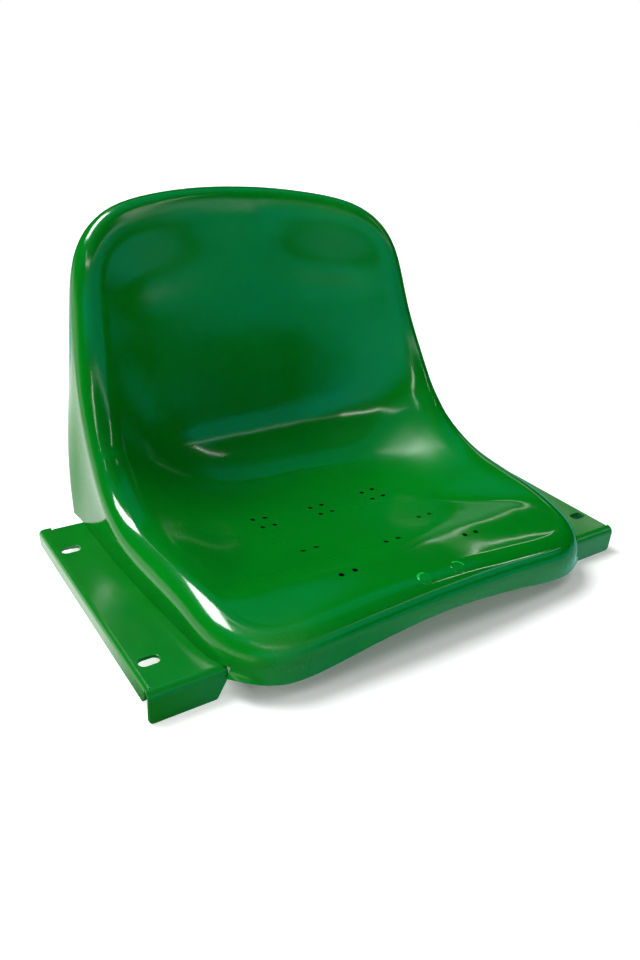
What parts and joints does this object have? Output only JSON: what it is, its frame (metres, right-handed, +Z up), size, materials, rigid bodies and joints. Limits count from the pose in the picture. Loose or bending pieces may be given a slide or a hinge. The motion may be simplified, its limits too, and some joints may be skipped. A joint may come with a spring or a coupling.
{
  "type": "stadium seat",
  "caption": "Low-back moulded bucket seat with a rolled rim and drain holes, carried by a folded, slotted mounting bracket on each side.",
  "frame": {"origin": "middle of the overall bounding box in plan, on the surface the brackets stand on", "axes": "+Z up, the seat faces -Y, +X to the side; the seat is symmetric about X = 0"},
  "size_m": [0.5, 0.4122, 0.3035],
  "materials": {
    "shell_green": "high gloss moulded polypropylene, green",
    "bracket_green": "gloss powder coat on folded steel, matched to the shell",
    "plug_green": "gloss moulded, green",
    "insert_brass": "turned brass",
    "fixing_steel": "zinc plated steel"
  },
  "bodies": {
    "root": {"seat_shell": "shell_green", "left_side_bracket": "bracket_green", "right_side_bracket": "bracket_green", "left_boss_inserts": "insert_brass", "right_boss_inserts": "insert_brass", "left_bracket_washers": "fixing_steel", "right_bracket_washers": "fixing_steel", "left_bracket_screws": "fixing_steel", "right_bracket_screws": "fixing_steel", "left_nose_plug": "plug_green", "right_nose_plug": "plug_green"}
  },
  "joints": []
}
